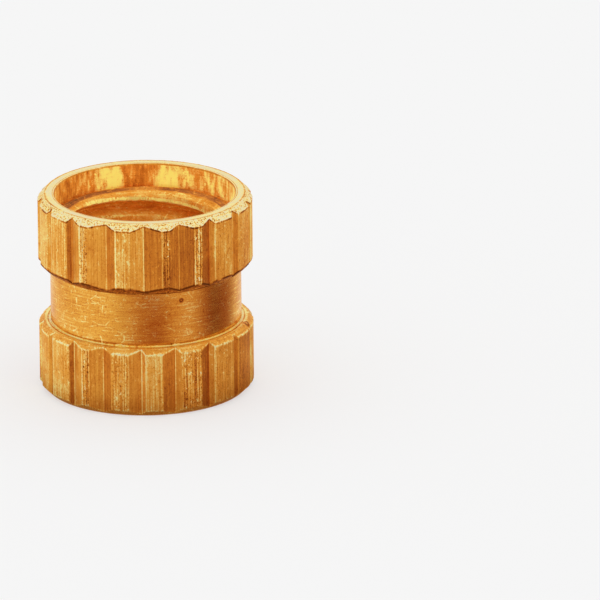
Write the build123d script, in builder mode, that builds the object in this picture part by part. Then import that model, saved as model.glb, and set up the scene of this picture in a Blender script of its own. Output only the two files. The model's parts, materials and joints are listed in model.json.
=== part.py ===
from build123d import *
import os

# Threaded insert for plastic bosses: one turned brass piece, with two straight-knurled bands, a plain waist
# between them and a bore for a 5 mm screw. Millimetres, +Z up along the bore, origin at the centre of the
# end that it stands on.

# Bore: a counterbore at each end, and a lead-in to the thread between them
thread_minor_diameter = 4.3
shoulder_width = 0.55  # from the thread's crests out to the wall of a counterbore
top_counterbore_depth = 0.72
bottom_counterbore_depth = 1.5
lead_in_share = 0.24  # of the shoulder, bevelled down to the thread

# Thread: right-hand, its groove cut outwards from the crests with flanks at about 60 degrees
thread_pitch = 0.8
thread_depth = 0.35
thread_floor_share = 0.125  # of the pitch, across the groove at its root
thread_mouth_share = 0.625  # of the pitch, across the groove at the crests
thread_start_share = 0.125  # of the pitch, from the top shoulder up to the groove's middle beside +X
thread_overrun = 0.05  # of the groove's cutter inside the crests

# Turned blank: the screw sets the bore, and the rim and chamfer around it set the outside, 6.4 across
insert_length = 6.0
rim_width = 0.31  # of the flat ring around each mouth of the bore
end_chamfer = 0.19  # on the outer edge of each end
top_band_length = 2.15
bottom_band_length = 2.1
waist_depth = 0.35  # below the crests of the knurl
waist_chamfer = 0.14  # on each band's edge beside the waist

# Knurl: rolled V grooves along the axis, uneven from tooth to tooth
tooth_count = 18
groove_depth = 0.14
first_groove_angle = -153.0  # degrees about +Z, counted from +X
cut_overrun = 0.3  # how far a cutter runs past what it cuts

# Left lip, root and right lip of each groove, as shares of the tooth pitch from the groove's even place.
# A row of teeth that is longer than its table starts the table again.
top_groove_shares = (
    (-0.15, -0.05, 0.10),
    (-0.20, -0.10, 0.25),
    (-0.50, 0.03, 0.33),
    (-0.25, 0.10, 0.60),
    (-0.20, 0.10, 0.50),
    (-0.25, 0.07, 0.18),
    (-0.18, 0.00, 0.15),
    (-0.15, -0.08, 0.10),
)
bottom_groove_shares = (
    (-0.15, 0.00, 0.08),
    (-0.18, -0.08, 0.28),
    (-0.48, -0.10, 0.18),
    (-0.35, 0.00, 0.12),
    (-0.42, -0.05, 0.12),
    (-0.30, 0.02, 0.12),
    (-0.13, -0.03, 0.10),
    (-0.15, -0.05, 0.05),
)

# Radii, heights and angles that follow from the sizes above
bore_radius = thread_minor_diameter / 2
thread_lead_in = shoulder_width * lead_in_share
lead_in_radius = bore_radius + thread_lead_in
counterbore_radius = bore_radius + shoulder_width
knurl_radius = counterbore_radius + rim_width + end_chamfer
waist_radius = knurl_radius - waist_depth
groove_root_radius = knurl_radius - groove_depth
waist_floor = bottom_band_length
waist_top = insert_length - top_band_length
bottom_shoulder = bottom_counterbore_depth
top_shoulder = insert_length - top_counterbore_depth
tooth_pitch = 360 / tooth_count
thread_root_radius = bore_radius + thread_depth
thread_half_floor = thread_pitch * thread_floor_share / 2
thread_half_mouth = thread_pitch * thread_mouth_share / 2
thread_flank_slope = (thread_half_mouth - thread_half_floor) / thread_depth
thread_half_cutter = thread_half_mouth + thread_flank_slope * thread_overrun
thread_turns = int((top_shoulder - bottom_shoulder) // thread_pitch) + 3  # with one past each shoulder
thread_top = top_shoulder + (thread_start_share + 1) * thread_pitch
thread_low = thread_top - thread_turns * thread_pitch


def on_circle(radius, angle):
    """The point of a cross section at this radius and at this angle in degrees."""
    return Vector(radius, 0).rotate(Axis.Z, angle)


def groove_outline(number, groove_shares):
    """The cross section that cuts one groove: a V from lip to root to lip, closed outside the knurl."""
    middle = first_groove_angle + number * tooth_pitch
    shares = groove_shares[number % len(groove_shares)]
    left, root, right = (middle + share * tooth_pitch for share in shares)
    return (
        on_circle(groove_root_radius, root),
        on_circle(knurl_radius, right),
        on_circle(knurl_radius + cut_overrun, right),
        on_circle(knurl_radius + cut_overrun, left),
        on_circle(knurl_radius, left),
    )


# The half section, up the outside from the standing end and back down the bore
outside = (
    (counterbore_radius, 0),
    (knurl_radius - end_chamfer, 0),
    (knurl_radius, end_chamfer),
    (knurl_radius, waist_floor - waist_chamfer),
    (knurl_radius - waist_chamfer, waist_floor),
    (waist_radius, waist_floor),
    (waist_radius, waist_top),
    (knurl_radius - waist_chamfer, waist_top),
    (knurl_radius, waist_top + waist_chamfer),
    (knurl_radius, insert_length - end_chamfer),
    (knurl_radius - end_chamfer, insert_length),
)
inside = (
    (counterbore_radius, insert_length),
    (counterbore_radius, top_shoulder),
    (lead_in_radius, top_shoulder),
    (bore_radius, top_shoulder - thread_lead_in),
    (bore_radius, bottom_shoulder + thread_lead_in),
    (lead_in_radius, bottom_shoulder),
    (counterbore_radius, bottom_shoulder),
)

# The section of the groove between the thread's turns, at its lower end
thread_groove = (
    (bore_radius - thread_overrun, thread_low - thread_half_cutter),
    (thread_root_radius, thread_low - thread_half_floor),
    (thread_root_radius, thread_low + thread_half_floor),
    (bore_radius - thread_overrun, thread_low + thread_half_cutter),
)

# The groove's path, in a piece for each turn, because a long helix in one piece is cut unreliably
thread_path = Wire([
    Helix(thread_pitch, thread_pitch, bore_radius, center=(0, 0, thread_low + turn * thread_pitch))
    for turn in range(thread_turns)
])

# The two knurled bands: where each starts, how long it is, and its grooves
knurled_bands = (
    (0, bottom_band_length, bottom_groove_shares),
    (waist_top, top_band_length, top_groove_shares),
)

with BuildPart() as insert_body:
    with BuildSketch(Plane.XZ):
        with BuildLine():
            Polyline(*outside, *inside, close=True)
        make_face()
    revolve(axis=Axis.Z)
    with BuildSketch(Plane.XZ):
        with BuildLine():
            Polyline(*thread_groove, close=True)
        make_face()
    sweep(path=thread_path, is_frenet=True, mode=Mode.SUBTRACT)
    for band_floor, band_length, groove_shares in knurled_bands:
        with BuildSketch(Plane.XY.offset(band_floor - cut_overrun)):
            for number in range(tooth_count):
                with BuildLine():
                    Polyline(*groove_outline(number, groove_shares), close=True)
                make_face()
        extrude(amount=band_length + 2 * cut_overrun, mode=Mode.SUBTRACT)

insert_body.part.label = "insert_body"

os.makedirs("parts", exist_ok=True)
export_step(insert_body.part, "parts/insert_body.step")
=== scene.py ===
"""Looks for a small threaded insert: turned brass, two knurled bands, a plain waist and a threaded bore."""

import json
import math

import bpy
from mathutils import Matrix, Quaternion, Vector


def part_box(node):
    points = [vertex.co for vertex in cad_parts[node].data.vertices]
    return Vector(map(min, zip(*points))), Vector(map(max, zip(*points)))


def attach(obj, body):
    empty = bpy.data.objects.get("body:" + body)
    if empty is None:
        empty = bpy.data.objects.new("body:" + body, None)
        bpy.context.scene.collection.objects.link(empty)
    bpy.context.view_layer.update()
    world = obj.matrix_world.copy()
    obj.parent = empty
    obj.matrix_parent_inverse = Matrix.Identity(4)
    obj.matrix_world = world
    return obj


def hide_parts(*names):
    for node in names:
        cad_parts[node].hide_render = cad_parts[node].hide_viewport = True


bl_info = {
    "name": "Threaded Insert",
    "version": (1, 0, 0),
    "blender": (4, 5, 0),
    "location": "View3D > Sidebar > Insert",
    "description": "Turns, knurls and threads a brass insert around its packed frame, and sets its stage",
    "category": "Mesh",
}

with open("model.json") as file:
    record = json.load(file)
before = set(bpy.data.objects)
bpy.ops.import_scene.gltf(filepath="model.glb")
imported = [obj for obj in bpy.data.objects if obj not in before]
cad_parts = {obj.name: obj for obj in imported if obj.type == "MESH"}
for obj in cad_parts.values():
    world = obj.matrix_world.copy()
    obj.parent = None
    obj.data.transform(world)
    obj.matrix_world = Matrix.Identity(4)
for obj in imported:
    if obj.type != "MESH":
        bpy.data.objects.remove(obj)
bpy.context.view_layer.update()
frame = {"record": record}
body_low, body_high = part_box("insert_body")
mounts = {mount["name"]: mount for mount in frame["record"]["mounts"]}

MM = 0.001  # one millimetre in scene units

# Left lip, root and right lip of each groove, as shares of the tooth pitch from the groove's even place.
# A row of teeth that is longer than its table starts the table again.
TOP_GROOVE_SHARES = (
    (-0.15, -0.05, 0.10),
    (-0.20, -0.10, 0.25),
    (-0.50, 0.03, 0.33),
    (-0.25, 0.10, 0.60),
    (-0.20, 0.10, 0.50),
    (-0.25, 0.07, 0.18),
    (-0.18, 0.00, 0.15),
    (-0.15, -0.08, 0.10),
)
BOTTOM_GROOVE_SHARES = (
    (-0.15, 0.00, 0.08),
    (-0.18, -0.08, 0.28),
    (-0.48, -0.10, 0.18),
    (-0.35, 0.00, 0.12),
    (-0.42, -0.05, 0.12),
    (-0.30, 0.02, 0.12),
    (-0.13, -0.03, 0.10),
    (-0.15, -0.05, 0.05),
)

# How dark each groove's left wall, its right wall and the land after it are, from 0, pale, to 1, brown:
# painted shade and reflections of how the light falls on each facet, with some of the brass's own uneven
# tone.
# The nine rows go twice round the teeth.
TOP_GROOVE_TONE_AND_SHADE = (
    (0.42, 0.36, 0.36),
    (0.70, 0.40, 0.36),
    (0.46, 0.58, 0.36),
    (0.42, 0.64, 0.62),
    (0.66, 0.68, 0.42),
    (0.70, 0.48, 0.45),
    (0.70, 0.60, 0.44),
    (0.50, 0.40, 0.40),
    (0.36, 0.34, 0.34),
)
BOTTOM_GROOVE_TONE_AND_SHADE = (
    (0.50, 0.38, 0.38),
    (0.68, 0.43, 0.50),
    (0.52, 0.64, 0.42),
    (0.49, 0.38, 0.34),
    (0.62, 0.50, 0.54),
    (0.74, 0.45, 0.45),
    (0.66, 0.66, 0.60),
    (0.56, 0.50, 0.46),
    (0.34, 0.32, 0.42),
)

EDGE_HIGHLIGHT_SHARE = 0.015  # of a tooth, half the width of the painted highlights along the roots and right lips
EDGE_HIGHLIGHT_TONE = 0.25  # how much paler those painted highlights are than the walls beside them

# How strong the marks on the land after each groove are, where 1 is plain and 2 is chipped
TOP_LAND_MARKS = (1.0, 2.4, 1.0, 2.0, 2.4, 1.0, 1.2, 1.0, 1.0)
BOTTOM_LAND_MARKS = (1.0, 2.2, 1.6, 1.0, 1.8, 1.0, 1.0, 1.0, 1.0)
WALL_MARKS = 0.65  # on the walls of the grooves, which the roll has smoothed

RIM_LINE_WIDTH = 0.02 * MM  # of the turned lines on the rim and beside the seam
SEAM_WIDTH = 0.09 * MM  # of the pale ring at the waist's foot, a painted highlight
OUTLINE_WIDTH = 0.06 * MM  # of the line along a band's upper edge, a painted shadow on the top band and a painted highlight on the other
UNEVEN_LINE = {"From Min": 0.35, "From Max": 0.6, "To Min": 0.2, "To Max": 1.4}  # how streaks break it up
HEEL_SHARE = 0.1  # of the lower end's chamfer, past which it has a finish of its own, a painted shade
KNURLED_FROM = 0.999  # of the grooves' depth, from which a row has the knurl's tones

# How dark the counterbores' walls and the shoulders are, in as many strips as the knurl has teeth: painted
# reflections on the walls, and painted shade with some painted reflection on the shoulders
BORE_PAINTED_REFLECTIONS = (
    0.25, 0.3, 0.25, 0.3, 0.25, 0.3, 0.25, 0.28, 0.25, 0.3, 0.16, 0.46, 0.16, 0.4, 0.52, 0.45, 0.3, 0.25,
)
SHOULDER_PAINTED_SHADES = (
    0.74, 0.7, 0.74, 0.56, 0.74, 0.7, 0.6, 0.74, 0.7, 0.74, 0.8, 0.54, 0.8, 0.82, 0.8, 0.74, 0.7, 0.74,
)
BORE_STRIP_SHARE = 1.25  # of a tooth, from the first groove to the middle of the first strip
STRIP_BLEND = (0.15, 0.85)  # where one strip starts to turn into the next, and where it has
STRIP_WANDER = 1.0  # of a strip, how far the streaks push its edges about
STREAK_SIZE = 0.35 * MM
STREAK_STRETCH = (1, 1, 0.3)  # streaks are longer up a wall than around it

# Which part of the bore a place is, next to 1 for a counterbore's wall and 0 for the outside
SHOULDER_BORED = -0.5
THREAD_BORED = 0.25

BORE_PALEST = 0.2  # the walls of the bore are no paler, so that they stay yellow
BORE_PALEST_BLEND = 0.12  # how softly that limit sets in

# Pits in the surface: angle about the bore, radius and height of the middle, and reach, in mm
PITS = (
    (-68.5, 2.85, 3.48, 0.11),
    (-14.0, 3.08, 2.09, 0.22),
    (148.0, 3.10, 5.90, 0.09),
    (-4.0, 3.16, 5.84, 0.09),
)
PIT_TONE = 0.5  # how much darker a pit's ring is
PIT_RING = (0.2, 0.6)  # of the way to a pit's middle, where its ring starts and where it is darkest

# What a stretch of the section carries: its tone, or on the knurl what is added to the groove's own, its
# roughness, how strong the marks on it are, how far it is knurled, and which part of the bore it is
FINISHES = {
    # Painted shade: the shoulders are dark
    "shoulder": (0.72, 0.6, 1.0, 0, SHOULDER_BORED),
    "bore": (0.3, 0.95, 0.6, 0.5, 1),
    "mouth": (0.6, 0.4, 1.0, 0, 0),
    "line": (0.6, 0.4, 1.3, 0, 0),
    "rim": (0.05, 0.4, 1.3, 0, 0),
    "chamfer": (0.13, 0.45, 3.4, 0.5, 0),
    # Painted shadow under the burred edge of the top band's chamfer
    "outline": (0.42, 0.6, 1.0, 1, 0),
    # Painted highlight along the lower band's upper edge
    "brink": (-0.2, 0.6, 1.0, 1, 0),
    "knurl": (0.0, 0.6, 1.0, 1, 0),
    # Painted shadow: a dark line along the top band's lower chamfer, beside the waist
    "edge": (0.8, 0.6, 1.0, 1, 0),
    # Painted shade on the band's downward-facing underside
    "ledge": (0.95, 0.4, 1.0, 0, 0),
    # Painted highlight along the waist's foot
    "seam": (0.06, 0.45, 1.8, 0, 0),
    "shelf": (0.22, 0.4, 1.0, 0, 0),
    "lip": (0.44, 0.5, 0.9, 0.3, 0),
    # Painted shade on the chamfer that faces the floor
    "heel": (0.44, 0.5, 1.0, 1, 0),
    # Painted shade in the waist's top corner, under the band
    "corner": (0.9, 0.5, 1.0, 0, 0),
    "waist": (0.45, 0.25, 0.8, 0, 0),
    "foot": (0.7, 0.4, 1.5, 0, 0),
    "base": (0.4, 0.4, 1.0, 0, 0),
}
CARRIED = ("tone", "rough", "marked", "knurled", "bored")

# Rows of the thread's wall in one turn. They lie half a row off, so that crests and roots end on rows.
THREAD_ROWS = 8
CREST_SHARE = 3 / THREAD_ROWS
ROOT_SHARE = 1 / THREAD_ROWS
THREAD_START = 5 / THREAD_ROWS  # of a turn, from a crest's middle down to the top shoulder, beside +X

# The thread's finish: tones of crest and root, with the root's darker tone a painted shade, the painted shade
# that one turn down adds, and the painted highlights on the crests' edges
CREST_TONE = 0.3
ROOT_TONE = 0.36
DEEP_SHADE = 0.14
CREST_EDGE_HIGHLIGHT = 0.08
CREST_EDGE_REACH = 0.01  # of a turn
CREST_RAGGED = 4.0  # how ragged the first crest's edges are, where 1 is a band's edge
THREAD_ROUGHNESS = 0.75
THREAD_MARKS = 0.6

# Sizes of the marks on the brass. Real turned rings, rolled lines and grit are about a hundredth of a
# millimetre wide, which is too fine to show, so they are drawn a few times coarser.
RING_SIZE = 0.05 * MM
LINE_SIZE = 0.035 * MM
GRIT_SIZE = 0.045 * MM
SCRATCH_SIZE = 0.06 * MM
FLECK_SIZE = 0.08 * MM
MOTTLE_SIZE = 0.16 * MM  # of the cloudy places on the bore's walls
PATCH_SIZE = 0.9 * MM
CROSSING_SIZE = 0.5 * MM  # between the scratches that cross each other on turned faces
CLUSTER_SIZE = 0.4 * MM  # of the places that have such scratches
CHIP_SIZE = 0.16 * MM  # of the ragged metal
RELIEF = 0.02 * MM  # height of the marks
EDGE_TINT = "FFF3DF"  # of what dull brass mirrors at a grazing angle, which stays warm

# How quickly a mark changes along its own run, against across it
RING_STRAY = 0.06
SCRATCH_STRAY = 0.2
LINE_STRAY = 0.02

# Flecks and mottles are longer up the insert, and crossing scratches longer around it
FLECK_STRETCH = (1, 1, 0.6)
MOTTLE_STRETCH = (1, 1, 0.35)
CROSSING_STRETCH = (0.6, 0.6, 1.7)

MERGE_REACH = 1e-4 * MM  # within which points of the mesh are one
SHARP_ANGLE = math.radians(32)  # from which an edge is shaded as sharp


def linear(code):
    """The linear colour of an sRGB hex value."""
    channels = (int(code[i:i + 2], 16) / 255 for i in (0, 2, 4))
    return tuple(c / 12.92 if c <= 0.04045 else ((c + 0.055) / 1.055) ** 2.4 for c in channels)


def add_node(tree, kind, inputs=None, **settings):
    """Add a node, set its properties, fill its inputs with values or links, and return its first output."""
    node = tree.nodes.new(kind)
    for name, value in settings.items():
        setattr(node, name, value)
    for key, value in (inputs or {}).items():
        usable = [socket for socket in node.inputs if socket.enabled]
        socket = usable[key] if isinstance(key, int) else next(s for s in usable if s.name == key)
        if isinstance(value, bpy.types.NodeSocket):
            tree.links.new(value, socket)
        else:
            socket.default_value = value
    return next((socket for socket in node.outputs if socket.enabled), node)


def mount_size(name, dimension):
    """A size of one of the frame's mounts."""
    return mounts[name]["dims"][dimension] * MM


def length_setting(name, description, default):
    """A length that a user may change."""
    return bpy.props.FloatProperty(
        name=name, description=description, unit="LENGTH", precision=6, default=default)


def angle_setting(name, description, degrees):
    """An angle that a user may change."""
    return bpy.props.FloatProperty(
        name=name, description=description, subtype="ANGLE", default=math.radians(degrees))


def colour_setting(name, description, code):
    """A colour that a user may change, from its sRGB hex value."""
    return bpy.props.FloatVectorProperty(
        name=name, description=description, subtype="COLOR", default=linear(code))


class InsertSizes(bpy.types.PropertyGroup):
    """Sizes of the insert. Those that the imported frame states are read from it."""

    length: length_setting("Length", "From end to end", body_high[2])
    knurl_radius: length_setting(
        "Knurl Radius", "To the crests of the knurl", mount_size("knurl_grip", "r_mm"))
    top_band: length_setting("Top Band", "Length of the upper knurled band", 2.15 * MM)
    bottom_band: length_setting("Bottom Band", "Length of the lower knurled band", 2.1 * MM)
    waist_depth: length_setting("Waist Depth", "Below the crests of the knurl", 0.35 * MM)
    end_chamfer: length_setting("End Chamfer", "On the outer edge of each end", 0.19 * MM)
    waist_chamfer: length_setting("Waist Chamfer", "On each band's edge beside the waist", 0.14 * MM)
    edge_break: length_setting("Edge Break", "Rounding of the bore's mouths", 0.03 * MM)
    tooth_count: bpy.props.IntProperty(name="Teeth", description="Grooves around each band", default=18)
    groove_depth: length_setting("Groove Depth", "From crest to root of the knurl", 0.14 * MM)
    first_groove: angle_setting("First Groove", "Angle of the first groove about the bore", -153)
    counterbore_radius: length_setting(
        "Counterbore Radius", "Of the plain wall at each end", mount_size("top_counterbore", "r_mm"))
    top_counterbore: length_setting(
        "Top Counterbore", "Depth at the upper end", mount_size("top_counterbore", "length_mm"))
    bottom_counterbore: length_setting(
        "Bottom Counterbore", "Depth at the standing end", mount_size("bottom_counterbore", "length_mm"))
    thread_minor: length_setting(
        "Thread Minor Radius", "To the crests of the thread", mount_size("thread", "r_mm"))
    thread_major: length_setting("Thread Major Radius", "To the roots of the thread", 2.5 * MM)
    thread_pitch: length_setting("Thread Pitch", "Rise of the thread in one turn", 0.8 * MM)
    lead_in: length_setting("Lead In", "Bevel of the thread's ends", 0.132 * MM)
    burr: length_setting("Burr", "Size of the ragged metal along the cut edges", 0.045 * MM)
    burr_reach: length_setting("Burr Reach", "How far the ragged metal goes from an edge", 0.05 * MM)
    columns: bpy.props.IntProperty(
        name="Columns", description="Steps of the mesh around the bore", default=648)
    seed: bpy.props.IntProperty(name="Seed", description="Of the burrs and marks", default=7)


class InsertFinish(bpy.types.PropertyGroup):
    """Colours of the brass, from where it is freshly cut to where it is dull or lies in painted shade."""

    fresh: colour_setting("Fresh Cut", "Rim, chamfers and burrs", "F3E7C0")
    bright: colour_setting("Bright", "Smooth wall of the bore", "FFF4A0")
    gold: colour_setting("Gold", "Rolled lands of the knurl", "F4B24A")
    orange: colour_setting("Orange", "Shallow walls of the knurl", "DC8A30")
    brown: colour_setting("Brown", "Steep walls of the knurl and shoulders of the bore", "B46224")
    dark: colour_setting("Dark", "Corners and pits", "74390F")


class InsertStage(bpy.types.PropertyGroup):
    """Where the camera stands, and the tone of the ground."""

    elevation: angle_setting("Elevation", "Of the camera above the floor", 18.9)
    lean: angle_setting("Lean", "Of the camera about its own axis", 0.5)
    lens: bpy.props.FloatProperty(name="Lens", description="Focal length", unit="CAMERA", default=900.0)
    view_width: length_setting("View Width", "Width of the frame where the insert stands", 17.91 * MM)
    aim_right: length_setting("Aim Right", "How far the camera aims beside the insert", 4.6 * MM)
    aim_down: length_setting("Aim Down", "How far the camera aims below its middle", 0.36 * MM)
    pale: colour_setting("Pale Ground", "Floor and backdrop", "F6F6F6")


def turned_section(s):
    """The half section from the thread's upper end, over the rim and down the outside, to its lower end.

    Each station has a radius and a height, how far the knurl slides it up or down its chamfer, how ragged it
    is, and the steps and finish of the stretch after it.
    """
    top, bottom = s.length, 0.0
    waist = s.knurl_radius - s.waist_depth
    waist_top = s.length - s.top_band
    rim = s.knurl_radius - s.end_chamfer
    top_shoulder = s.length - s.top_counterbore
    mouth = s.counterbore_radius + s.edge_break
    lead = s.thread_minor + s.lead_in
    beside = s.knurl_radius - s.waist_chamfer
    top_edge = top - s.end_chamfer
    bottom_edge = s.bottom_band - s.waist_chamfer
    heel = (1 - HEEL_SHARE) * s.end_chamfer
    return (
        (lead, top_shoulder, 0, 0, 3, "shoulder"),
        (s.counterbore_radius, top_shoulder, 0, 0, 7, "bore"),
        (s.counterbore_radius, top - s.edge_break, 0, 0, 2, "mouth"),
        (mouth, top, 0, 0.2, 2, "rim"),
        (mouth + s.edge_break, top, 0, 0, 1, "line"),
        (mouth + s.edge_break + RIM_LINE_WIDTH, top, 0, 0, 3, "rim"),
        (rim - RIM_LINE_WIDTH, top, 0, 0, 1, "line"),
        (rim, top, 0, 0.3, 7, "chamfer"),
        (s.knurl_radius, top_edge, 1, 1, 2, "outline"),
        (s.knurl_radius, top_edge - OUTLINE_WIDTH, 1, 0.3, 8, "knurl"),
        (s.knurl_radius, waist_top + s.waist_chamfer, -1, 0.5, 5, "edge"),
        (beside, waist_top, 0, 1, 3, "ledge"),
        (waist, waist_top, 0, 0, 3, "corner"),
        (waist, waist_top - s.waist_chamfer, 0, 0, 10, "waist"),
        (waist, s.bottom_band + OUTLINE_WIDTH, 0, 0, 1, "foot"),
        (waist, s.bottom_band, 0, 0.2, 2, "seam"),
        (waist + SEAM_WIDTH, s.bottom_band, 0, 0.3, 1, "foot"),
        (waist + SEAM_WIDTH + RIM_LINE_WIDTH, s.bottom_band, 0, 0, 2, "shelf"),
        (beside, s.bottom_band, 0, 0.4, 5, "lip"),
        (s.knurl_radius, bottom_edge, 1, 0.7, 2, "brink"),
        (s.knurl_radius, bottom_edge - OUTLINE_WIDTH, 1, 0.3, 8, "knurl"),
        (s.knurl_radius, s.end_chamfer, -1, 0.5, 1, "knurl"),
        (s.knurl_radius - HEEL_SHARE * s.end_chamfer, heel, HEEL_SHARE - 1, 0.5, 5, "heel"),
        (rim, bottom, 0, 0, 3, "base"),
        (mouth, bottom, 0, 0, 2, "mouth"),
        (s.counterbore_radius, s.edge_break, 0, 0, 5, "bore"),
        (s.counterbore_radius, s.bottom_counterbore, 0, 0, 2, "shoulder"),
        (lead, s.bottom_counterbore, 0, 0, 0, "shoulder"),
    )


def section_mesh(stations, burr_reach):
    """The section's points in order, close together near the stations, with what they carry."""
    rows, corners, along = [], [], 0.0
    for here, there in zip(stations, stations[1:] + stations[-1:]):
        ragged, steps, finish = here[3], max(here[4], 1), here[5]
        corners.append((along, ragged))
        span = math.dist(here[:2], there[:2])
        for step in range(steps):
            share = (1 - math.cos(math.pi * step / steps)) / 2
            radius, height, slide = (a + (b - a) * share for a, b in zip(here[:3], there[:3]))
            sink = abs(here[2]) + (abs(there[2]) - abs(here[2])) * share
            rows.append((radius, height, slide, sink, along + span * share, *FINISHES[finish]))
        along += span
    mesh = bpy.data.meshes.new("half_section")
    mesh.from_pydata([(row[0], 0, row[1]) for row in rows], [], [])
    raggedness = [
        max(burr * math.exp(-abs(row[4] - corner) / burr_reach) for corner, burr in corners)
        for row in rows
    ]
    carried = {"ragged": raggedness, "slide": [row[2] for row in rows], "sink": [row[3] for row in rows]}
    for number, name in enumerate(CARRIED):
        carried[name] = [row[5 + number] for row in rows]
    for name, values in carried.items():
        layer = mesh.attributes.new(name, "FLOAT", "POINT")
        layer.data.foreach_set("value", values)
    return mesh


def new_tree(name, inputs, outputs):
    """A Geometry Nodes tree with named sockets, its input node and its output node."""
    tree = bpy.data.node_groups.new(name, "GeometryNodeTree")
    for label, kind in inputs:
        tree.interface.new_socket(label, in_out="INPUT", socket_type=kind)
    for label, kind in outputs:
        tree.interface.new_socket(label, in_out="OUTPUT", socket_type=kind)
    return tree, tree.nodes.new("NodeGroupInput").outputs, tree.nodes.new("NodeGroupOutput").inputs


def table_row(tree, index, rows):
    """Pick one row of a table, of single numbers or of three."""
    kind = "FLOAT" if isinstance(rows[0], float) else "VECTOR"
    picked = add_node(tree, "GeometryNodeIndexSwitch", data_type=kind)
    node = picked.node
    while len(node.index_switch_items) < len(rows):
        node.index_switch_items.new()
    tree.links.new(index, node.inputs["Index"])
    for number, row in enumerate(rows):
        node.inputs[1 + number].default_value = row
    return picked


def knurl_groove_tree():
    """How deep, dark and marked one groove is at a place around the knurl, and whether it has begun there.
    Its darkness is mostly painted shade and highlights on the walls.

    The depth goes from 0 on the groove's lips to 1 at its root.
    """
    tree, given, result = new_tree(
        "Knurl groove",
        (("Tooth", "NodeSocketFloat"), ("Back", "NodeSocketFloat"), ("Teeth", "NodeSocketFloat"),
         ("Top Band", "NodeSocketBool")),
        (("Depth", "NodeSocketFloat"), ("Tone", "NodeSocketFloat"), ("Marks", "NodeSocketFloat"),
         ("Begun", "NodeSocketBool")),
    )
    nearest = add_node(tree, "ShaderNodeMath", {0: given["Tooth"]}, operation="ROUND")
    number = add_node(tree, "ShaderNodeMath", {0: nearest, 1: given["Back"]}, operation="SUBTRACT")
    place = add_node(tree, "ShaderNodeMath", {0: given["Tooth"], 1: number}, operation="SUBTRACT")
    wrapped = add_node(tree, "ShaderNodeMath", {0: number, 1: given["Teeth"], 2: 0.0}, operation="WRAP")
    index = add_node(tree, "ShaderNodeMath", {0: wrapped, 1: len(TOP_GROOVE_SHARES)}, operation="MODULO")
    look = add_node(tree, "ShaderNodeMath", {0: wrapped, 1: len(TOP_GROOVE_TONE_AND_SHADE)}, operation="MODULO")
    picked = []
    for entry, top, bottom in (
        (index, TOP_GROOVE_SHARES, BOTTOM_GROOVE_SHARES),
        (look, TOP_GROOVE_TONE_AND_SHADE, BOTTOM_GROOVE_TONE_AND_SHADE),
    ):
        chosen = add_node(tree, "GeometryNodeSwitch", {
            "Switch": given["Top Band"],
            "False": table_row(tree, entry, bottom),
            "True": table_row(tree, entry, top),
        }, input_type="VECTOR")
        picked.append(add_node(tree, "ShaderNodeSeparateXYZ", {0: chosen}).node.outputs)
    (left, root, right), (left_tone, right_tone, land_tone) = picked
    walls = [
        add_node(tree, "ShaderNodeMapRange", {"Value": place, "From Min": lip, "From Max": root})
        for lip in (left, right)
    ]
    depth = add_node(tree, "ShaderNodeMath", {0: walls[0], 1: walls[1]}, operation="MINIMUM")

    # Painted shade, with some of the brass's own tone: left wall before the root, right wall before the right
    # lip, and then the land
    over = add_node(tree, "ShaderNodeMath", {0: place, 1: right}, operation="GREATER_THAN")
    rising = add_node(tree, "ShaderNodeMath", {0: place, 1: root}, operation="GREATER_THAN")
    after = add_node(tree, "GeometryNodeSwitch", {"Switch": over, "False": right_tone, "True": land_tone},
                     input_type="FLOAT")
    tone = add_node(tree, "GeometryNodeSwitch", {"Switch": rising, "False": left_tone, "True": after},
                    input_type="FLOAT")
    # Painted highlights: pale lines along each groove's root and right lip
    for edge in (root, right):
        away = add_node(tree, "ShaderNodeMath", {0: place, 1: edge}, operation="SUBTRACT")
        near = add_node(tree, "ShaderNodeMath", {0: away, 1: 0.0, 2: EDGE_HIGHLIGHT_SHARE}, operation="COMPARE")
        tone = add_node(tree, "ShaderNodeMath", {0: near, 1: -EDGE_HIGHLIGHT_TONE, 2: tone},
                        operation="MULTIPLY_ADD")
    chipped = add_node(tree, "GeometryNodeSwitch", {
        "Switch": given["Top Band"],
        "False": table_row(tree, look, BOTTOM_LAND_MARKS),
        "True": table_row(tree, look, TOP_LAND_MARKS),
    }, input_type="FLOAT")
    marks = add_node(tree, "GeometryNodeSwitch", {"Switch": over, "False": WALL_MARKS, "True": chipped},
                     input_type="FLOAT")
    begun = add_node(tree, "ShaderNodeMath", {0: place, 1: left}, operation="GREATER_THAN")
    for name, socket in (("Depth", depth), ("Tone", tone), ("Marks", marks), ("Begun", begun)):
        tree.links.new(socket, result[name])
    return tree


def lathe_grid_tree():
    """A grid of rows and columns, with each point's row number and its share of a turn."""
    tree, given, result = new_tree(
        "Lathe grid",
        (("Rows", "NodeSocketInt"), ("Columns", "NodeSocketInt")),
        (("Mesh", "NodeSocketGeometry"), ("Row", "NodeSocketInt"), ("Turn", "NodeSocketFloat")),
    )
    across = add_node(tree, "FunctionNodeIntegerMath", {0: given["Columns"], 1: 1}, operation="ADD")
    grid = add_node(tree, "GeometryNodeMeshGrid", {"Vertices X": across, "Vertices Y": given["Rows"]})
    index = add_node(tree, "GeometryNodeInputIndex")
    row = add_node(tree, "FunctionNodeIntegerMath", {0: index, 1: given["Rows"]}, operation="MODULO")
    column = add_node(tree, "FunctionNodeIntegerMath", {0: index, 1: given["Rows"]},
                      operation="DIVIDE_FLOOR")
    turn = add_node(tree, "ShaderNodeMath", {0: column, 1: given["Columns"]}, operation="DIVIDE")
    for name, socket in (("Mesh", grid), ("Row", row), ("Turn", turn)):
        tree.links.new(socket, result[name])
    return tree


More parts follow.
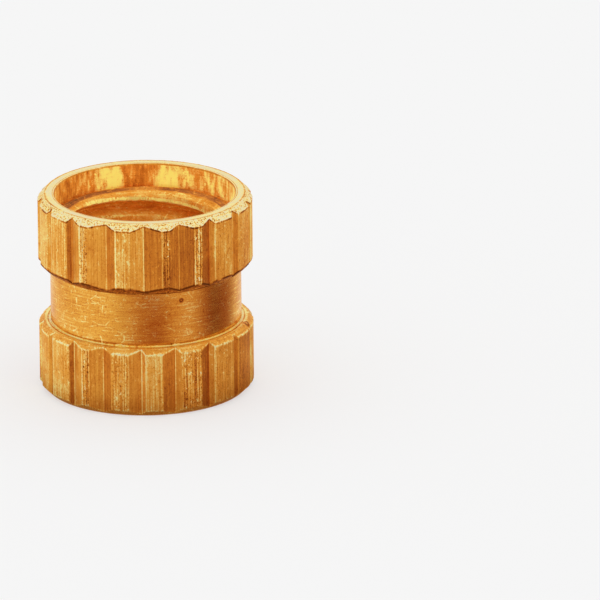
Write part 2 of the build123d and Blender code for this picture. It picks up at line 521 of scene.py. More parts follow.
INSERT_INPUTS = (
    ("Geometry", "NodeSocketGeometry"),
    ("Columns", "NodeSocketInt"),
    ("Teeth", "NodeSocketFloat"),
    ("First Groove", "NodeSocketFloat"),
    ("Groove Depth", "NodeSocketFloat"),
    ("Middle", "NodeSocketFloat"),
    ("Top Shoulder", "NodeSocketFloat"),
    ("Bottom Shoulder", "NodeSocketFloat"),
    ("Thread Pitch", "NodeSocketFloat"),
    ("Thread Turns", "NodeSocketInt"),
    ("Thread Start", "NodeSocketFloat"),
    ("Minor Radius", "NodeSocketFloat"),
    ("Major Radius", "NodeSocketFloat"),
    ("Lead In", "NodeSocketFloat"),
    ("Burr", "NodeSocketFloat"),
    ("Seed", "NodeSocketFloat"),
)


def thread_wave(tree, given, height, turn):
    """How far a place on the thread's wall is from the middle of a crest, in turns, up to a half."""
    below = add_node(tree, "ShaderNodeMath", {0: given["Top Shoulder"], 1: height}, operation="SUBTRACT")
    turns = add_node(tree, "ShaderNodeMath", {0: below, 1: given["Thread Pitch"]}, operation="DIVIDE")
    spun = add_node(tree, "ShaderNodeMath", {0: turns, 1: turn}, operation="ADD")
    phase = add_node(tree, "ShaderNodeMath", {0: spun, 1: given["Thread Start"]}, operation="ADD")
    return add_node(tree, "ShaderNodeMath", {0: phase, 1: 0.5}, operation="PINGPONG")


def thread_radius(tree, given, height, wave):
    """The radius of the thread's wall at a height and a distance from a crest, with its ends bevelled."""
    wall = add_node(tree, "ShaderNodeMapRange", {
        "Value": wave, "From Min": CREST_SHARE / 2, "From Max": (1 - ROOT_SHARE) / 2,
        "To Min": given["Minor Radius"], "To Max": given["Major Radius"],
    })
    below = add_node(tree, "ShaderNodeMath", {0: given["Top Shoulder"], 1: height}, operation="SUBTRACT")
    above = add_node(tree, "ShaderNodeMath", {0: height, 1: given["Bottom Shoulder"]}, operation="SUBTRACT")
    inset = add_node(tree, "ShaderNodeMath", {0: below, 1: above}, operation="MINIMUM")
    bevel = add_node(tree, "ShaderNodeMath", {0: given["Lead In"], 1: inset}, operation="SUBTRACT")
    mouth = add_node(tree, "ShaderNodeMath", {0: given["Minor Radius"], 1: bevel}, operation="ADD")
    return add_node(tree, "ShaderNodeMath", {0: wall, 1: mouth}, operation="MAXIMUM")


def on_lathe(tree, radius, turn, height):
    """The point at a radius, a share of a turn and a height."""
    angle = add_node(tree, "ShaderNodeMath", {0: turn, 1: math.tau}, operation="MULTIPLY")
    cosine = add_node(tree, "ShaderNodeMath", {0: angle}, operation="COSINE")
    sine = add_node(tree, "ShaderNodeMath", {0: angle}, operation="SINE")
    across = add_node(tree, "ShaderNodeMath", {0: radius, 1: cosine}, operation="MULTIPLY")
    along = add_node(tree, "ShaderNodeMath", {0: radius, 1: sine}, operation="MULTIPLY")
    return add_node(tree, "ShaderNodeCombineXYZ", {0: across, 1: along, 2: height})


def sampled(tree, section, row, name):
    """What the half section carries under a name, at a row."""
    value = add_node(tree, "GeometryNodeInputNamedAttribute", {"Name": name}, data_type="FLOAT")
    return add_node(tree, "GeometryNodeSampleIndex", {"Geometry": section, "Value": value, "Index": row},
                    data_type="FLOAT", domain="POINT")


def carry(tree, mesh, values):
    """Store named values on a mesh's points."""
    for name, value in values.items():
        mesh = add_node(tree, "GeometryNodeStoreNamedAttribute", {
            "Geometry": mesh, "Name": name, "Value": value}, data_type="FLOAT", domain="POINT")
    return mesh


def thread_wall(tree, given, lathe):
    """The threaded wall of the bore, with its rows laid along the helix."""
    rows = add_node(tree, "FunctionNodeIntegerMath", {0: given["Thread Turns"], 1: THREAD_ROWS, 2: 1},
                    operation="MULTIPLY_ADD")
    grid = add_node(tree, "GeometryNodeGroup", {"Rows": rows, "Columns": given["Columns"]},
                    node_tree=lathe).node.outputs
    turn = grid["Turn"]
    half_off = add_node(tree, "ShaderNodeMath", {0: grid["Row"], 1: 0.5}, operation="SUBTRACT")
    down = add_node(tree, "ShaderNodeMath", {0: half_off, 1: THREAD_ROWS}, operation="DIVIDE")
    drop = add_node(tree, "ShaderNodeMath", {0: down, 1: turn}, operation="SUBTRACT")
    fall = add_node(tree, "ShaderNodeMath", {0: drop, 1: given["Thread Pitch"]}, operation="MULTIPLY")
    helix = add_node(tree, "ShaderNodeMath", {0: given["Top Shoulder"], 1: fall}, operation="SUBTRACT")
    height = add_node(tree, "ShaderNodeClamp", {
        "Value": helix, "Min": given["Bottom Shoulder"], "Max": given["Top Shoulder"]})
    wave = thread_wave(tree, given, height, turn)
    radius = thread_radius(tree, given, height, wave)
    wall = add_node(tree, "GeometryNodeSetPosition", {
        "Geometry": grid["Mesh"], "Position": on_lathe(tree, radius, turn, height)})
    # Painted shade: roots darker than crests, and the whole thread darker over its first turn down
    first_turn = add_node(tree, "ShaderNodeMath", {0: given["Top Shoulder"], 1: given["Thread Pitch"]},
                          operation="SUBTRACT")
    deep = add_node(tree, "ShaderNodeMapRange", {
        "Value": height, "From Min": given["Top Shoulder"], "From Max": first_turn})
    tone = add_node(tree, "ShaderNodeMapRange", {
        "Value": radius, "From Min": given["Minor Radius"], "From Max": given["Major Radius"],
        "To Min": CREST_TONE, "To Max": ROOT_TONE})
    tone = add_node(tree, "ShaderNodeMath", {0: deep, 1: DEEP_SHADE, 2: tone}, operation="MULTIPLY_ADD")

    # Below the lead-in the crests' edges carry painted highlights, and those of the first turn are ragged
    edge = add_node(tree, "ShaderNodeMath", {0: wave, 1: CREST_SHARE / 2, 2: CREST_EDGE_REACH},
                    operation="COMPARE")
    lead_end = add_node(tree, "ShaderNodeMath", {0: given["Top Shoulder"], 1: given["Lead In"]},
                        operation="SUBTRACT")
    below_lead = add_node(tree, "ShaderNodeMath", {0: height, 1: lead_end}, operation="LESS_THAN")
    sharp = add_node(tree, "ShaderNodeMath", {0: edge, 1: below_lead}, operation="MULTIPLY")
    tone = add_node(tree, "ShaderNodeMath", {0: sharp, 1: -CREST_EDGE_HIGHLIGHT, 2: tone},
                    operation="MULTIPLY_ADD")
    shallow = add_node(tree, "ShaderNodeMath", {0: 1.0, 1: deep}, operation="SUBTRACT")
    early = add_node(tree, "ShaderNodeMath", {0: sharp, 1: shallow}, operation="MULTIPLY")
    ragged = add_node(tree, "ShaderNodeMath", {0: early, 1: CREST_RAGGED}, operation="MULTIPLY")
    return carry(tree, wall, {
        "tone": tone,
        "ragged": ragged,
        "rough": THREAD_ROUGHNESS,
        "marked": THREAD_MARKS,
        "bored": THREAD_BORED,
    })


def outer_shell(tree, given, lathe, groove):
    """The rest of the insert: the half section turned round, and the knurl rolled into it."""
    section = given["Geometry"]
    count = add_node(tree, "GeometryNodeAttributeDomainSize", {0: section}, component="MESH")
    grid = add_node(tree, "GeometryNodeGroup", {"Rows": count, "Columns": given["Columns"]},
                    node_tree=lathe).node.outputs
    row, turn = grid["Row"], grid["Turn"]
    spot = add_node(tree, "GeometryNodeSampleIndex", {
        "Geometry": section, "Value": add_node(tree, "GeometryNodeInputPosition"), "Index": row,
    }, data_type="FLOAT_VECTOR", domain="POINT")
    parts = add_node(tree, "ShaderNodeSeparateXYZ", {0: spot}).node.outputs
    radius, height = parts["X"], parts["Z"]

    # The knurl: the deeper of the nearest groove and the one before it
    angle = add_node(tree, "ShaderNodeMath", {0: turn, 1: math.tau}, operation="MULTIPLY")
    after = add_node(tree, "ShaderNodeMath", {0: angle, 1: given["First Groove"]}, operation="SUBTRACT")
    share = add_node(tree, "ShaderNodeMath", {0: after, 1: math.tau}, operation="DIVIDE")
    around = add_node(tree, "ShaderNodeMath", {0: share}, operation="FRACT")
    tooth = add_node(tree, "ShaderNodeMath", {0: around, 1: given["Teeth"]}, operation="MULTIPLY")
    is_top = add_node(tree, "ShaderNodeMath", {0: height, 1: given["Middle"]}, operation="GREATER_THAN")
    nearest, before = (
        add_node(tree, "GeometryNodeGroup", {
            "Tooth": tooth, "Back": back, "Teeth": given["Teeth"], "Top Band": is_top,
        }, node_tree=groove).node.outputs
        for back in range(2)
    )
    depth = add_node(tree, "ShaderNodeMath", {0: nearest["Depth"], 1: before["Depth"]}, operation="MAXIMUM")
    knurl_shade, knurl_marks = (
        add_node(tree, "GeometryNodeSwitch", {
            "Switch": nearest["Begun"], "False": before[name], "True": nearest[name],
        }, input_type="FLOAT")
        for name in ("Tone", "Marks")
    )
    sunk = add_node(tree, "ShaderNodeMath", {0: depth, 1: given["Groove Depth"]}, operation="MULTIPLY")

    # The knurl sinks its own rows, and those of a chamfer slide along it to meet the cut
    carried = {name: sampled(tree, section, row, name) for name in ("ragged", "slide", "sink", *CARRIED)}
    sink = carried.pop("sink")
    lost = add_node(tree, "ShaderNodeMath", {0: sink, 1: sunk}, operation="MULTIPLY")
    rolled = add_node(tree, "ShaderNodeMath", {0: radius, 1: lost}, operation="SUBTRACT")
    height = add_node(tree, "ShaderNodeMath", {0: carried.pop("slide"), 1: sunk, 2: height},
                      operation="MULTIPLY_ADD")

    # The shoulders end where the thread begins
    at_shoulder = add_node(tree, "ShaderNodeMath", {0: radius, 1: given["Major Radius"]},
                           operation="LESS_THAN")
    threaded = thread_radius(tree, given, height, thread_wave(tree, given, height, turn))
    opened = add_node(tree, "ShaderNodeMath", {0: threaded, 1: at_shoulder}, operation="MULTIPLY")
    cut = add_node(tree, "ShaderNodeMath", {0: rolled, 1: opened}, operation="MAXIMUM")
    place = on_lathe(tree, cut, turn, height)
    shell = add_node(tree, "GeometryNodeSetPosition", {"Geometry": grid["Mesh"], "Position": place})

    # The section runs the other way from the thread's rows, so its faces are turned to point outwards
    shell = add_node(tree, "GeometryNodeFlipFaces", {0: shell})

    # Painted reflections in strips on the bore's walls and painted shade on the shoulders, with streaky edges
    streak_place = add_node(tree, "ShaderNodeVectorMath", {0: place, 1: STREAK_STRETCH}, operation="MULTIPLY")
    streaks = add_node(tree, "ShaderNodeTexNoise", {
        "Vector": streak_place, "W": given["Seed"], "Scale": 1 / STREAK_SIZE, "Detail": 3.0,
    }, noise_dimensions="4D")
    centred = add_node(tree, "ShaderNodeMath", {0: streaks, 1: 0.5}, operation="SUBTRACT")
    from_first = add_node(tree, "ShaderNodeMath", {0: tooth, 1: BORE_STRIP_SHARE}, operation="SUBTRACT")
    pushed = add_node(tree, "ShaderNodeMath", {0: centred, 1: STRIP_WANDER, 2: from_first},
                      operation="MULTIPLY_ADD")
    strip = add_node(tree, "ShaderNodeMath", {0: pushed, 1: given["Teeth"], 2: 0.0}, operation="WRAP")
    number = add_node(tree, "ShaderNodeMath", {0: strip}, operation="FLOOR")
    following = add_node(tree, "ShaderNodeMath", {0: number, 1: 1.0}, operation="ADD")
    onward = add_node(tree, "ShaderNodeMath", {0: following, 1: given["Teeth"]}, operation="MODULO")
    passed = add_node(tree, "ShaderNodeMath", {0: strip}, operation="FRACT")
    blend = add_node(tree, "ShaderNodeMapRange", {
        "Value": passed, "From Min": STRIP_BLEND[0], "From Max": STRIP_BLEND[1],
    }, interpolation_type="SMOOTHSTEP")
    turned_tone = carried["tone"]
    for tones, bored in ((BORE_PAINTED_REFLECTIONS, 1.0), (SHOULDER_PAINTED_SHADES, SHOULDER_BORED)):
        strip_tone = add_node(tree, "ShaderNodeMix", {
            "Factor": blend, "A": table_row(tree, number, tones), "B": table_row(tree, onward, tones),
        }, data_type="FLOAT")
        within = add_node(tree, "ShaderNodeMath", {0: carried["bored"], 1: bored}, operation="DIVIDE")
        turned_tone = add_node(tree, "ShaderNodeMix", {
            "Factor": within, "A": turned_tone, "B": strip_tone}, data_type="FLOAT")

    # The knurl's own tones, which carry painted shade and highlights, and its marks where it is cut
    is_cut = add_node(tree, "ShaderNodeMath", {0: sink, 1: KNURLED_FROM}, operation="GREATER_THAN")
    uneven = add_node(tree, "ShaderNodeMapRange", {"Value": streaks, **UNEVEN_LINE})
    cut_tone = add_node(tree, "ShaderNodeMath", {0: carried["tone"], 1: uneven, 2: knurl_shade},
                        operation="MULTIPLY_ADD")
    carried["tone"] = add_node(tree, "GeometryNodeSwitch", {
        "Switch": is_cut, "False": turned_tone, "True": cut_tone}, input_type="FLOAT")
    cut_marks = add_node(tree, "GeometryNodeSwitch", {"Switch": is_cut, "False": 1.0, "True": knurl_marks},
                         input_type="FLOAT")
    carried["marked"] = add_node(tree, "ShaderNodeMath", {0: carried["marked"], 1: cut_marks},
                                 operation="MULTIPLY")
    return carry(tree, shell, carried)


def insert_tree(material):
    """The whole insert: turned shell, threaded wall, burrs along the cut edges and the brass on it."""
    tree, given, result = new_tree("Threaded insert", INSERT_INPUTS, (("Geometry", "NodeSocketGeometry"),))
    lathe, groove = lathe_grid_tree(), knurl_groove_tree()
    shell = outer_shell(tree, given, lathe, groove)
    wall = thread_wall(tree, given, lathe)
    joined = add_node(tree, "GeometryNodeJoinGeometry")
    for piece in (wall, shell):
        tree.links.new(piece, joined.node.inputs[0])
    whole = add_node(tree, "GeometryNodeMergeByDistance", {"Geometry": joined, "Distance": MERGE_REACH})

    # Burrs: the ragged rows are pushed about by a noise as coarse as the chips of metal
    here = add_node(tree, "GeometryNodeInputPosition")
    ragged = add_node(tree, "GeometryNodeInputNamedAttribute", {"Name": "ragged"}, data_type="FLOAT")
    chips = add_node(tree, "ShaderNodeTexNoise", {
        "Vector": here, "W": given["Seed"], "Scale": 1 / CHIP_SIZE, "Detail": 2.0,
    }, noise_dimensions="4D").node.outputs["Color"]
    centred = add_node(tree, "ShaderNodeVectorMath", {0: chips, 1: (0.5, 0.5, 0.5)}, operation="SUBTRACT")
    reach = add_node(tree, "ShaderNodeMath", {0: ragged, 1: given["Burr"]}, operation="MULTIPLY")
    push = add_node(tree, "ShaderNodeVectorMath", {0: centred, "Scale": reach}, operation="SCALE")
    whole = add_node(tree, "GeometryNodeSetPosition", {"Geometry": whole, "Offset": push})

    real = add_node(tree, "GeometryNodeRealizeInstances", {"Geometry": whole})
    done = add_node(tree, "GeometryNodeSetMaterial", {"Geometry": real, "Material": material})
    tree.links.new(done, result["Geometry"])
    return tree


def bake_nodes(name, base, tree, values):
    """An object whose mesh is what the tree makes of the base mesh, with no modifier left."""
    piece = bpy.data.objects.new(name, base)
    bpy.context.collection.objects.link(piece)
    modifier = piece.modifiers.new(tree.name, "NODES")
    modifier.node_group = tree
    for item in tree.interface.items_tree:
        if item.item_type == "SOCKET" and item.in_out == "INPUT" and item.name in values:
            modifier[item.identifier] = values[item.name]
    depsgraph = bpy.context.evaluated_depsgraph_get()
    mesh = bpy.data.meshes.new_from_object(piece.evaluated_get(depsgraph))
    piece.modifiers.remove(modifier)
    piece.data = mesh
    mesh.name = name
    return piece


def turned_brass(finish):
    """Free-cutting brass, turned and rolled, bare.

    The eye sees warm yellow metal with a satin sheen: pale where it is freshly cut, gold on the lands, brown
    in the grooves, partly as painted shade, with painted highlights and reflections on knurl edges, burrs and
    the bore, lines along the knurl, fine rings on what was turned, and flecks all over.
    """
    material = bpy.data.materials.new("turned_brass")
    material.use_nodes = True
    tree = material.node_tree
    shader = tree.nodes["Principled BSDF"]
    shader.inputs["Metallic"].default_value = 1.0
    shader.inputs["Specular Tint"].default_value = (*linear(EDGE_TINT), 1)
    place = add_node(tree, "ShaderNodeTexCoord").node.outputs["Object"]
    tone, rough, marked, knurled, bored, ragged = (
        add_node(tree, "ShaderNodeAttribute", attribute_name=name).node.outputs["Fac"]
        for name in (*CARRIED, "ragged")
    )

    # Rings and scratches lie at one radius and height all round, and lines run along the bore
    parts = add_node(tree, "ShaderNodeSeparateXYZ", {0: place}).node.outputs
    flat = add_node(tree, "ShaderNodeCombineXYZ", {0: parts["X"], 1: parts["Y"]})
    out = add_node(tree, "ShaderNodeVectorMath", {0: flat}, operation="LENGTH").node.outputs["Value"]
    ring = add_node(tree, "ShaderNodeCombineXYZ", {0: out, 1: parts["Z"]})
    ring_place, scratch_place = (
        add_node(tree, "ShaderNodeVectorMath", {0: flat, 1: (stray, stray, 0), 2: ring},
                 operation="MULTIPLY_ADD")
        for stray in (RING_STRAY, SCRATCH_STRAY)
    )
    line_place, fleck_place, mottle_place, crossing_place = (
        add_node(tree, "ShaderNodeVectorMath", {0: place, 1: stretch}, operation="MULTIPLY")
        for stretch in ((1, 1, LINE_STRAY), FLECK_STRETCH, MOTTLE_STRETCH, CROSSING_STRETCH)
    )
    rings, lines, scratches, flecks, grit, mottles, clusters, patches = (
        add_node(tree, "ShaderNodeTexNoise", {
            "Vector": where, "Scale": 1 / size, "Detail": detail, "Roughness": roughness})
        for where, size, detail, roughness in (
            (ring_place, RING_SIZE, 3.0, 0.5),
            (line_place, LINE_SIZE, 2.0, 0.5),
            (scratch_place, SCRATCH_SIZE, 2.0, 0.5),
            (fleck_place, FLECK_SIZE, 3.0, 0.65),
            (place, GRIT_SIZE, 1.0, 0.5),
            (mottle_place, MOTTLE_SIZE, 1.0, 0.5),
            (place, CLUSTER_SIZE, 2.0, 0.5),
            (place, PATCH_SIZE, 2.0, 0.5),
        )
    )

    # Rings are fainter than lines, and the knurl has no scratches
    faint_rings = add_node(tree, "ShaderNodeMapRange", {"Value": rings, "To Min": 0.25, "To Max": 0.75})
    faint_lines = add_node(tree, "ShaderNodeMapRange", {"Value": lines, "To Min": 0.2, "To Max": 0.8})
    marks = add_node(tree, "ShaderNodeMix", {"Factor": knurled, "A": faint_rings, "B": faint_lines},
                     data_type="FLOAT")
    scratches = add_node(tree, "ShaderNodeMix", {"Factor": knurled, "A": scratches, "B": 0.5},
                         data_type="FLOAT")
    cells = add_node(tree, "ShaderNodeTexVoronoi", {"Vector": crossing_place, "Scale": 1 / CROSSING_SIZE},
                     feature="DISTANCE_TO_EDGE")
    crossings = add_node(tree, "ShaderNodeMapRange", {"Value": cells, "From Min": 0.03, "From Max": 0.01})
    clustered = add_node(tree, "ShaderNodeMapRange", {
        "Value": clusters, "From Min": 0.48, "From Max": 0.56, "To Max": marked})
    on_turned = add_node(tree, "ShaderNodeMix", {"Factor": knurled, "A": clustered, "B": 0.0},
                         data_type="FLOAT")

    # Pits are dark around a paler middle
    for angle, radius, height, reach in PITS:
        turn = math.radians(angle)
        middle = Vector((radius * math.cos(turn), radius * math.sin(turn), height)) * MM
        away = add_node(tree, "ShaderNodeVectorMath", {0: place, 1: middle}, operation="DISTANCE")
        near = add_node(tree, "ShaderNodeMapRange", {
            "Value": away.node.outputs["Value"], "From Min": reach * MM, "From Max": 0.0})
        around = add_node(tree, "ShaderNodeMath", {0: near, 1: PIT_RING[1]}, operation="PINGPONG")
        darker = add_node(tree, "ShaderNodeMapRange", {
            "Value": around, "From Min": PIT_RING[0], "From Max": PIT_RING[1], "To Max": PIT_TONE})
        tone = add_node(tree, "ShaderNodeMath", {0: tone, 1: darker}, operation="ADD")

    # How the marks change the tone: the range of a pattern that shows, what its ends add, and how strongly.
    # Lines, rings and broad patches go both ways, grit is dark, scratches are pale, burrs are pale as fresh
    # metal and as a painted highlight along the cut edges, and flecks are dark in some places and pale in
    # others.
    burr_flecks = add_node(tree, "ShaderNodeMapRange", {
        "Value": flecks, "From Min": 0.56, "From Max": 0.44, "To Max": 1.5})
    shade = tone
    for pattern, low, high, least, most, strength in (
        (mottles, 0.32, 0.68, -0.12, 0.12, bored),
        (marks, 0.38, 0.62, -0.13, 0.13, marked),
        (flecks, 0.59, 0.70, 0.0, 0.2, marked),
        (grit, 0.54, 0.66, 0.0, 0.13, marked),
        (flecks, 0.40, 0.30, 0.0, -0.25, marked),
        (scratches, 0.62, 0.70, 0.0, -0.2, marked),
        (crossings, 0.0, 1.0, 0.0, -0.2, on_turned),
        (ragged, 0.2, 1.0, 0.0, -0.3, burr_flecks),
        (patches, 0.3, 0.7, -0.08, 0.08, 1.0),
    ):
        part = add_node(tree, "ShaderNodeMapRange", {
            "Value": pattern, "From Min": low, "From Max": high, "To Min": least, "To Max": most})
        shade = add_node(tree, "ShaderNodeMath", {0: part, 1: strength, 2: shade}, operation="MULTIPLY_ADD")

    # The bore's walls are no paler than yellow
    inside = add_node(tree, "ShaderNodeMath", {0: bored, 1: 1 / THREAD_BORED}, operation="MULTIPLY",
                      use_clamp=True)
    palest = add_node(tree, "ShaderNodeMath", {0: inside, 1: BORE_PALEST}, operation="MULTIPLY")
    shade = add_node(tree, "ShaderNodeMath", {0: shade, 1: palest, 2: BORE_PALEST_BLEND},
                     operation="SMOOTH_MAX")
    ramp = add_node(tree, "ShaderNodeValToRGB", {0: shade}).node
    stops = (finish.fresh, finish.bright, finish.gold, finish.orange, finish.brown, finish.dark)
    ramp.color_ramp.elements[1].position = 1.0
    for number in range(1, len(stops) - 1):
        ramp.color_ramp.elements.new(number / (len(stops) - 1))
    for stop, colour in zip(ramp.color_ramp.elements, stops):
        stop.color = (*colour, 1)
    tree.links.new(ramp.outputs["Color"], shader.inputs["Base Color"])

    # Flecks vary the gloss a little, and the marks stand out most where the brass is dull
    speckled = add_node(tree, "ShaderNodeMapRange", {
        "Value": flecks, "From Min": 0.3, "From Max": 0.7, "To Min": -0.02, "To Max": 0.02})
    dullness = add_node(tree, "ShaderNodeMath", {0: rough, 1: speckled}, operation="ADD")
    tree.links.new(dullness, shader.inputs["Roughness"])
    relief = add_node(tree, "ShaderNodeMath", {0: marks, 1: flecks}, operation="ADD")
    squared = add_node(tree, "ShaderNodeMath", {0: dullness, 1: dullness}, operation="MULTIPLY")
    bump = add_node(tree, "ShaderNodeBump", {"Height": relief, "Strength": squared, "Distance": RELIEF})
    tree.links.new(bump, shader.inputs["Normal"])
    return material


class INSERT_OT_body(bpy.types.Operator):
    """Turn, knurl and thread the insert, and stand it in for its plain solid"""

    bl_idname = "insert.body"
    bl_label = "Insert Body"

    def execute(self, context):
        sizes = context.scene.insert_sizes
        top_shoulder = sizes.length - sizes.top_counterbore
        thread_length = top_shoulder - sizes.bottom_counterbore
        section = section_mesh(turned_section(sizes), sizes.burr_reach)
        tree = insert_tree(turned_brass(context.scene.insert_finish))
        piece = bake_nodes("turned_insert", section, tree, {
            "Columns": sizes.columns,
            "Teeth": float(sizes.tooth_count),
            "First Groove": sizes.first_groove,
            "Groove Depth": sizes.groove_depth,
            "Middle": sizes.length / 2,
            "Top Shoulder": top_shoulder,
            "Bottom Shoulder": sizes.bottom_counterbore,
            "Thread Pitch": sizes.thread_pitch,
            "Thread Turns": math.ceil(thread_length / sizes.thread_pitch) + 1,
            "Thread Start": THREAD_START,
            "Minor Radius": sizes.thread_minor,
            "Major Radius": sizes.thread_major,
            "Lead In": sizes.lead_in,
            "Burr": sizes.burr,
            "Seed": float(sizes.seed),
        })
        piece.data.shade_smooth()
        piece.data.set_sharp_from_angle(angle=SHARP_ANGLE)
        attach(piece, "root")
        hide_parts("insert_body")
        return {"FINISHED"}


# What the waist mirrors: a low card around the insert, with its colour at each bearing, which is counted in
# degrees from the camera towards the right
CARD_COLOURS = (
    (-46, "F6F6F6"),
    (-35, "EAE4DC"),
    (-25, "D8C8BA"),
    (-14, "C7A394"),
    (-4, "A86024"),
    (7, "9C4410"),
    (16, "A04C14"),
    (26, "CCA890"),
    (38, "D4B4A8"),
    (49, "D6BAAE"),
    (60, "BC9084"),
    (70, "8A2C18"),
    (80, "661A0A"),
    (90, "78260E"),
    (101, "8E4430"),
    (113, "B89C98"),
    (125, "F6F6F6"),
)
CARD_RADIUS = 12 * MM
CARD_HEIGHTS = (-1.9 * MM, 1.3 * MM)

# A painted shadow: the dark ring on the floor around the insert's foot, where little light reaches, seen only
# in the metal's reflections
SHADOW_CARD_RADIUS = 4 * MM
SHADOW_CARD_COLOUR = "A08C78"

# The pale disc across the bore, which stands for the light that falls into it
BORE_CARD_COLOUR = "FFFAE8"
BORE_CARD_SHARE = 0.98  # of the counterbore's radius
BORE_CARD_LIFT = 0.02 * MM  # above the shoulder

CARD_STEPS = 72  # around the ring and the disc
FLOOR_REACH = 400 * MM
FLOOR_EVENNESS = 0.6  # how much of the floor's shading the camera doesn't see


def mirrored_card(name, corners, faces, colours):
    """A card that glows with a flat colour at each of its corners. Only the metal's reflections see it."""
    mesh = bpy.data.meshes.new(name)
    mesh.from_pydata(corners, [], faces)
    layer = mesh.attributes.new("glow", "FLOAT_COLOR", "POINT")
    layer.data.foreach_set("color", [channel for colour in colours for channel in (*linear(colour), 1)])
    material = bpy.data.materials.new("glowing_card")
    material.use_nodes = True
    tree = material.node_tree
    tree.nodes.remove(tree.nodes["Principled BSDF"])
    painted = add_node(tree, "ShaderNodeAttribute", attribute_name="glow")
    glow = add_node(tree, "ShaderNodeEmission", {"Color": painted})
    tree.links.new(glow, tree.nodes["Material Output"].inputs["Surface"])
    mesh.materials.append(material)
    card = bpy.data.objects.new(name, mesh)
    bpy.context.collection.objects.link(card)
    card.visible_camera = False
    card.visible_diffuse = False
    card.visible_transmission = False
    card.visible_volume_scatter = False
    card.visible_shadow = False
    return card


def warm_card():
    """A low curved card that stands around the front of the insert."""
    corners, faces, colours = [], [], []
    for number, (bearing, colour) in enumerate(CARD_COLOURS):
        angle = math.radians(bearing - 90)
        for height in CARD_HEIGHTS:
            corners.append((CARD_RADIUS * math.cos(angle), CARD_RADIUS * math.sin(angle), height))
            colours.append(colour)
        if number:
            faces.append((2 * number - 2, 2 * number - 1, 2 * number + 1, 2 * number))
    return mirrored_card("warm_card", corners, faces, colours)


def card_circle(radius, height):
    """Points around the bore's axis."""
    angles = (math.tau * step / CARD_STEPS for step in range(CARD_STEPS))
    return [(radius * math.cos(angle), radius * math.sin(angle), height) for angle in angles]


def contact_shadow_card(inner):
    """A painted shadow: a flat dark ring on the floor around the foot of the insert."""
    corners = card_circle(inner, 0) + card_circle(SHADOW_CARD_RADIUS, 0)
    faces = []
    for step in range(CARD_STEPS):
        after = (step + 1) % CARD_STEPS
        faces.append((step, CARD_STEPS + step, CARD_STEPS + after, after))
    return mirrored_card("contact_shadow_card", corners, faces, [SHADOW_CARD_COLOUR] * len(corners))


def bore_card(radius, height):
    """A round pale card across the bore, which lights the wall above it and the thread below."""
    corners = card_circle(radius, height)
    return mirrored_card("bore_card", corners, [range(CARD_STEPS)], [BORE_CARD_COLOUR] * CARD_STEPS)


def pale_floor(colour):
    """A wide floor of matt paper, which the eye sees as an even pale ground with no gloss.

    The metal doesn't mirror it, and mirrors the pale world below it instead.
    """
    mesh = bpy.data.meshes.new("pale_floor")
    signs = ((-1, -1), (1, -1), (1, 1), (-1, 1))
    mesh.from_pydata([(x * FLOOR_REACH, y * FLOOR_REACH, 0) for x, y in signs], [], [(0, 1, 2, 3)])
    material = bpy.data.materials.new("matt_paper")
    material.use_nodes = True
    tree = material.node_tree
    shader = tree.nodes["Principled BSDF"]
    shader.inputs["Base Color"].default_value = (*colour, 1)
    shader.inputs["Roughness"].default_value = 1.0
    shader.inputs["Specular IOR Level"].default_value = 0.0
    seen = add_node(tree, "ShaderNodeLightPath").node.outputs["Is Camera Ray"]
    share = add_node(tree, "ShaderNodeMath", {0: seen, 1: FLOOR_EVENNESS}, operation="MULTIPLY")
    even = add_node(tree, "ShaderNodeEmission", {"Color": (*colour, 1)})
    paper = add_node(tree, "ShaderNodeMixShader", {0: share, 1: shader.outputs[0], 2: even})
    tree.links.new(paper, tree.nodes["Material Output"].inputs["Surface"])
    mesh.materials.append(material)
    floor = bpy.data.objects.new("pale_floor", mesh)
    bpy.context.collection.objects.link(floor)
    floor.visible_glossy = False
    return floor


def even_world(colour):
    """Even white light from all round. The camera and the metal see the pale backdrop."""
    world = bpy.data.worlds.new("even_light")
    world.use_nodes = True
    tree = world.node_tree
    path = add_node(tree, "ShaderNodeLightPath").node.outputs
    mirrored = add_node(tree, "ShaderNodeMath", {0: path["Is Glossy Ray"], 1: path["Is Transmission Ray"]},
                        operation="MAXIMUM")
    seen = add_node(tree, "ShaderNodeMath", {0: path["Is Camera Ray"], 1: mirrored}, operation="MAXIMUM")
    tone = add_node(tree, "ShaderNodeMix", {"Factor": seen, "A": (1, 1, 1, 1), "B": (*colour, 1)},
                    data_type="RGBA")
    tree.links.new(tone, tree.nodes["Background"].inputs["Color"])
    return world


def aimed_camera(stage, middle):
    """A long lens in front of the insert, turned so that the insert stands left of the frame's middle."""
    camera = bpy.data.cameras.new("camera")
    camera.lens = stage.lens
    distance = stage.view_width * stage.lens / camera.sensor_width
    back = Vector((0, -math.cos(stage.elevation), math.sin(stage.elevation)))
    lean = Quaternion(back, -stage.lean)
    up = lean @ Vector((0, math.sin(stage.elevation), math.cos(stage.elevation)))
    right = lean @ Vector((1, 0, 0))
    camera.clip_start = distance / 10
    camera.clip_end = distance * 10
    holder = bpy.data.objects.new("camera", camera)
    bpy.context.collection.objects.link(holder)
    holder.location = middle + back * distance
    target = middle + right * stage.aim_right - up * stage.aim_down
    holder.rotation_mode = "QUATERNION"
    holder.rotation_quaternion = lean @ (target - holder.location).to_track_quat("-Z", "Y")
    return holder


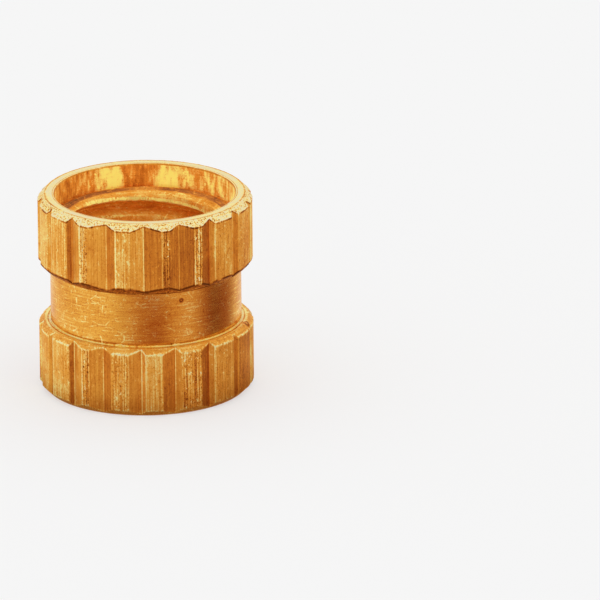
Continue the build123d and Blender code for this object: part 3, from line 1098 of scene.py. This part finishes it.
class INSERT_OT_stage(bpy.types.Operator):
    """Set the floor, the cards that the metal mirrors, the even light and the camera"""

    bl_idname = "insert.stage"
    bl_label = "Insert Stage"

    def execute(self, context):
        scene = context.scene
        stage, sizes = scene.insert_stage, scene.insert_sizes
        shoulder = sizes.length - sizes.top_counterbore
        pale_floor(stage.pale)
        contact_shadow_card(sizes.counterbore_radius)
        warm_card()
        bore_card(sizes.counterbore_radius * BORE_CARD_SHARE, shoulder + BORE_CARD_LIFT)
        scene.world = even_world(stage.pale)
        middle = (Vector(body_low) + Vector(body_high)) / 2
        scene.camera = aimed_camera(stage, middle)
        scene.view_settings.view_transform = "Standard"
        return {"FINISHED"}


class INSERT_PT_panel(bpy.types.Panel):
    """The insert's sizes, finish and stage in the sidebar"""

    bl_idname = "INSERT_PT_panel"
    bl_label = "Threaded Insert"
    bl_space_type = "VIEW_3D"
    bl_region_type = "UI"
    bl_category = "Insert"

    def draw(self, context):
        layout = self.layout
        for group in ("insert_sizes", "insert_finish", "insert_stage"):
            settings = getattr(context.scene, group)
            box = layout.box()
            for name in settings.__annotations__:
                box.prop(settings, name)
        for operator in OPERATORS:
            layout.operator(operator.bl_idname)


OPERATORS = (INSERT_OT_body, INSERT_OT_stage)
SETTINGS = (
    ("insert_sizes", InsertSizes),
    ("insert_finish", InsertFinish),
    ("insert_stage", InsertStage),
)


def register():
    """Add the settings, the operators and the panel."""
    for name, group in SETTINGS:
        bpy.utils.register_class(group)
        setattr(bpy.types.Scene, name, bpy.props.PointerProperty(type=group))
    for cls in (*OPERATORS, INSERT_PT_panel):
        bpy.utils.register_class(cls)


def unregister():
    """Take the panel, the operators and the settings out again."""
    for cls in reversed((*OPERATORS, INSERT_PT_panel)):
        bpy.utils.unregister_class(cls)
    for name, group in reversed(SETTINGS):
        delattr(bpy.types.Scene, name)
        bpy.utils.unregister_class(group)


def main():
    """Make the insert and its stage."""
    register()
    bpy.ops.insert.body()
    bpy.ops.insert.stage()


if __name__ == "__main__":
    main()
